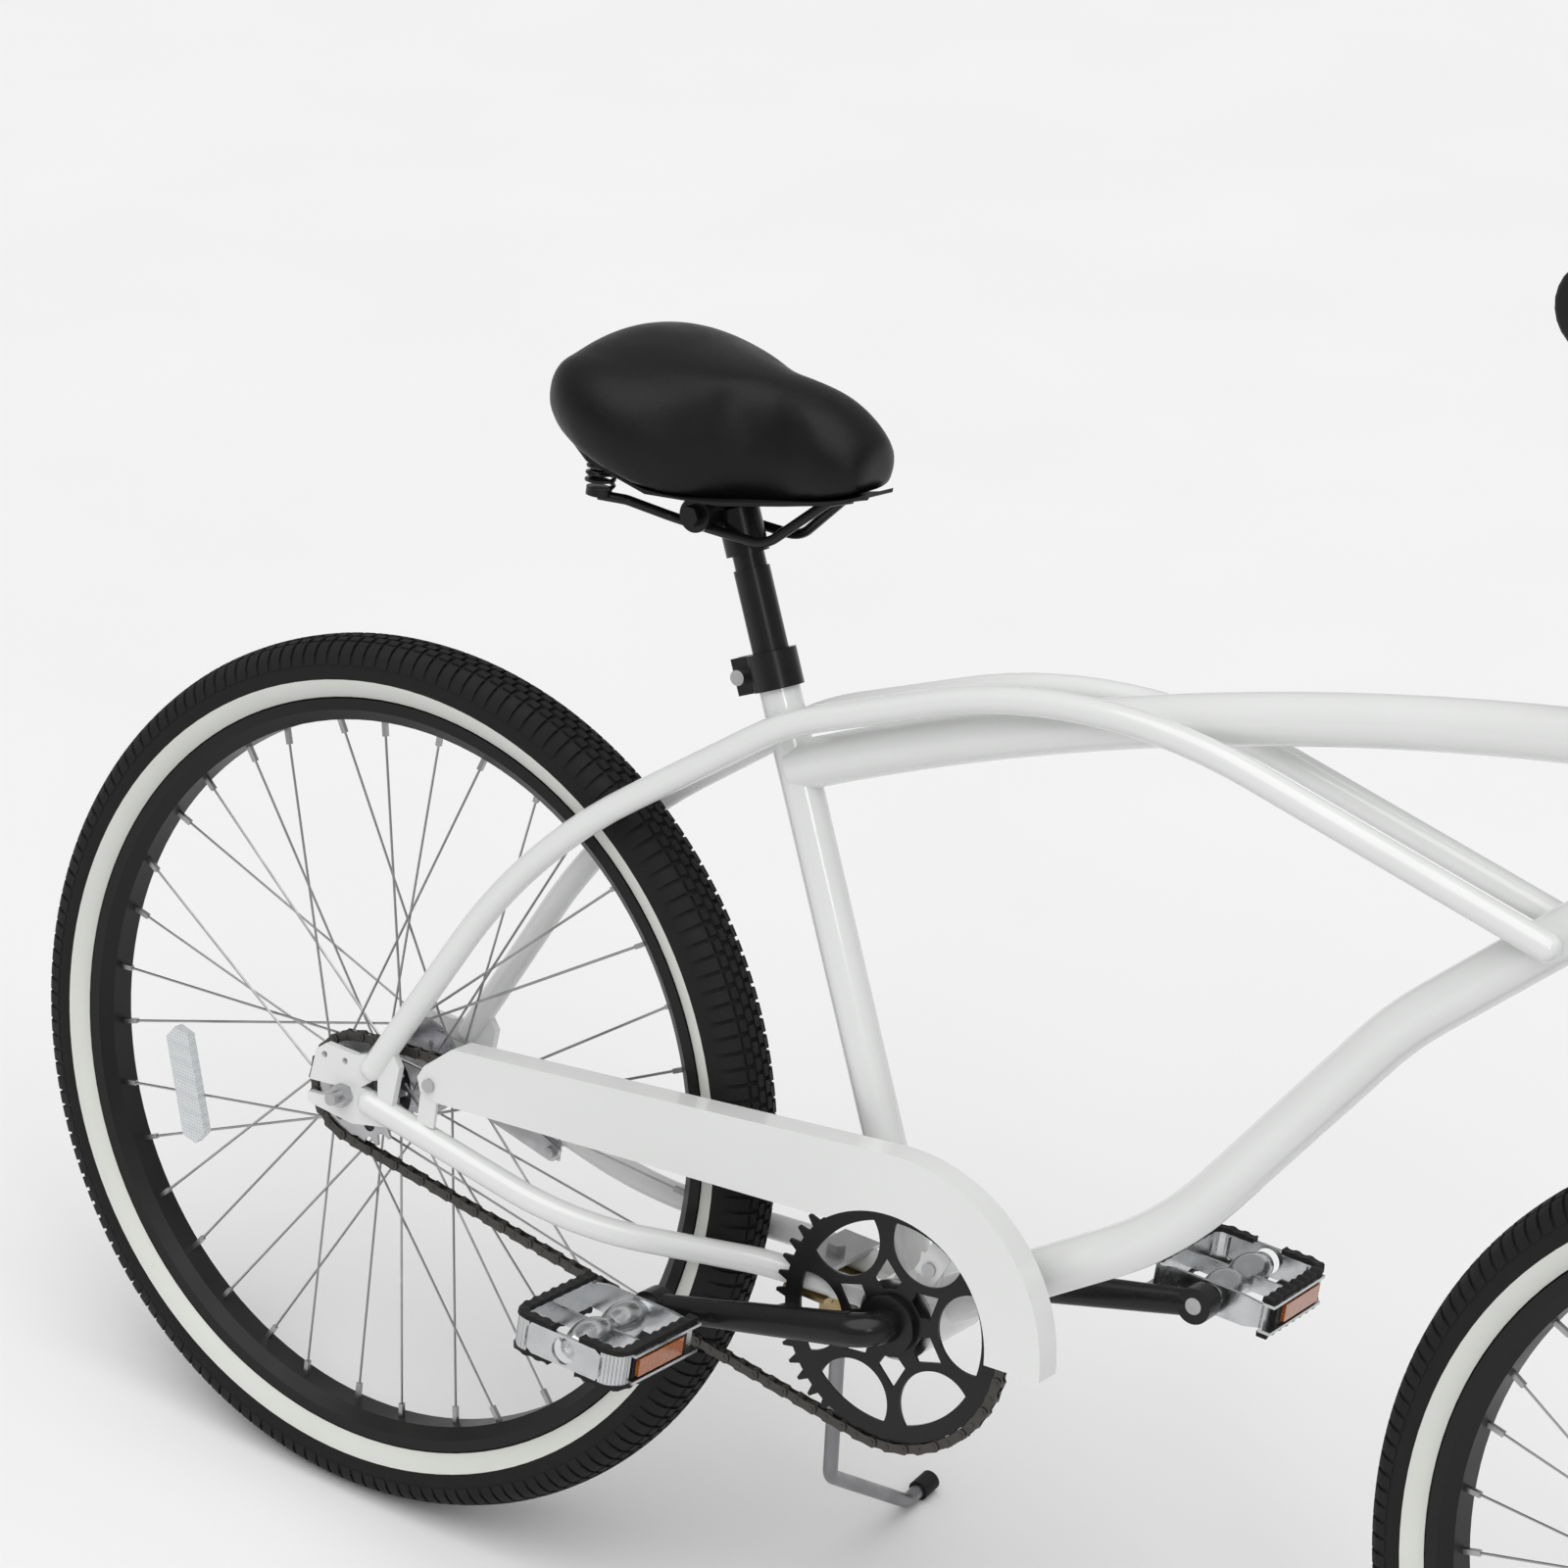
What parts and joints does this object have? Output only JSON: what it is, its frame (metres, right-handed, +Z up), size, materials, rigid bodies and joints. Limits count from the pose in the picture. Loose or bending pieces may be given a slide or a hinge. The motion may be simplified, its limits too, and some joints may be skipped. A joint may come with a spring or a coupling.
{
  "type": "beach cruiser bicycle",
  "caption": "Single-speed beach cruiser with a curved tube frame, balloon whitewall tyres, chain guard, sprung saddle, riser handlebar and a kickstand it leans on.",
  "frame": {"origin": "middle of the parked bicycle on the ground it stands on", "axes": "+X along the bicycle towards its front, +Y to the rider's left, +Z up; the bicycle leans left on its kickstand"},
  "size_m": [1.794, 0.6252, 1.2196],
  "materials": {
    "frame_paint": "gloss white paint",
    "guard_paint": "gloss white paint",
    "black_steel": "gloss black paint",
    "black_rim": "gloss black paint",
    "bright_steel": "zinc plated",
    "hub_steel": "polished",
    "chain_steel": "oiled",
    "brassy_steel": "yellow zinc plated",
    "stand_alloy": "satin",
    "black_rubber": "matt",
    "tyre_rubber": "matt black with white sidewall bands",
    "pedal_alloy": "polished",
    "amber_lens": "amber lens",
    "clear_lens": "clear lens",
    "saddle_vinyl": "smooth vinyl",
    "saddle_pan": "black",
    "bar_paint": "gloss black paint"
  },
  "bodies": {
    "frame": {"bottom_bracket_shell": "frame_paint", "seat_tube": "frame_paint", "head_tube": "frame_paint", "top_tube": "frame_paint", "down_tube": "frame_paint", "stringer_stays": "frame_paint", "chainstays": "frame_paint", "left_dropout": "frame_paint", "right_dropout": "frame_paint", "seat_clamp": "black_steel", "frame_bolts": "bright_steel", "headset_cups": "bright_steel", "bottom_bracket_cups": "bright_steel", "chain_guard": "guard_paint", "coaster_brake_arm": "bright_steel", "brake_arm_clip": "bright_steel", "kickstand_bracket": "brassy_steel", "kickstand_top_plate": "bright_steel", "chain": "chain_steel", "rear_axle": "bright_steel"},
    "kickstand": {"kickstand_leg": "stand_alloy", "kickstand_foot": "black_rubber"},
    "seat": {"seatpost": "black_steel", "saddle_clamp": "black_steel", "saddle_rails": "black_steel", "saddle_springs": "black_steel", "saddle_base": "saddle_pan", "saddle_cover": "saddle_vinyl"},
    "steering": {"fork_steerer": "frame_paint", "left_fork_blade": "frame_paint", "right_fork_blade": "frame_paint", "headset_locknut": "bright_steel", "stem": "bar_paint", "handlebar": "bar_paint", "grips": "black_rubber", "front_axle": "bright_steel", "front_axle_nuts": "bright_steel"},
    "front_wheel": {"front_hub": "hub_steel", "front_spokes": "bright_steel", "front_rim": "black_rim", "front_tyre": "tyre_rubber", "front_valve": "black_rubber", "front_reflector": "clear_lens"},
    "rear_wheel": {"rear_hub": "hub_steel", "rear_spokes": "bright_steel", "rear_rim": "black_rim", "rear_tyre": "tyre_rubber", "rear_valve": "black_rubber", "rear_reflector": "clear_lens"},
    "driver": {"rear_sprocket": "bright_steel"},
    "crank": {"crank": "black_steel", "chainring": "black_steel", "crank_cones": "bright_steel", "pedal_axles": "bright_steel"},
    "left_pedal": {"left_pedal_cage": "pedal_alloy", "left_pedal_treads": "black_rubber", "left_pedal_reflectors": "amber_lens"},
    "right_pedal": {"right_pedal_cage": "pedal_alloy", "right_pedal_treads": "black_rubber", "right_pedal_reflectors": "amber_lens"}
  },
  "joints": [
    {"name": "steering", "type": "hinge", "parent": "frame", "child": "steering", "pos_m": [0.52824, -0.11749, 0.3123], "axis": [-0.3514, 0.1787, 0.919], "range_deg": [-72, 87]},
    {"name": "front_wheel_spin", "type": "hinge", "parent": "steering", "child": "front_wheel", "pos_m": [0.56813, -0.1203, 0.3281], "axis": [0.1257, 0.9817, -0.1429], "continuous": true},
    {"name": "rear_wheel_spin", "type": "hinge", "parent": "frame", "child": "rear_wheel", "pos_m": [-0.5655, -0.11462, 0.32563], "axis": [0.0003, 0.9816, -0.1908], "continuous": true},
    {"name": "crank_spin", "type": "hinge", "parent": "frame", "child": "crank", "pos_m": [-0.09826, -0.11691, 0.31447], "axis": [0.0003, 0.9816, -0.1908], "continuous": true, "deforming": ["chain"]},
    {"name": "driver_spin", "type": "hinge", "parent": "frame", "child": "driver", "pos_m": [-0.5655, -0.11462, 0.32563], "axis": [0.0003, 0.9816, -0.1908], "continuous": true},
    {"name": "left_pedal_spin", "type": "hinge", "parent": "crank", "child": "left_pedal", "pos_m": [0.06735, -0.02912, 0.33658], "axis": [0.0003, 0.9816, -0.1908], "continuous": true},
    {"name": "right_pedal_spin", "type": "hinge", "parent": "crank", "child": "right_pedal", "pos_m": [-0.26387, -0.2047, 0.29236], "axis": [0.0003, 0.9816, -0.1908], "continuous": true},
    {"name": "kickstand_swing", "type": "hinge", "parent": "frame", "child": "kickstand", "pos_m": [-0.1732, -0.10491, 0.27129], "axis": [0.1315, 0.9831, 0.1271], "range_deg": [0, 69.7]},
    {"name": "seatpost_slide", "type": "slide", "parent": "frame", "child": "seat", "axis": [-0.4317, 0.1722, 0.8854], "range_m": [-0.04, 0.08]}
  ],
  "couplings": [
    {"joint": "driver_spin", "follows": "crank_spin", "ratio": 2.2}
  ]
}
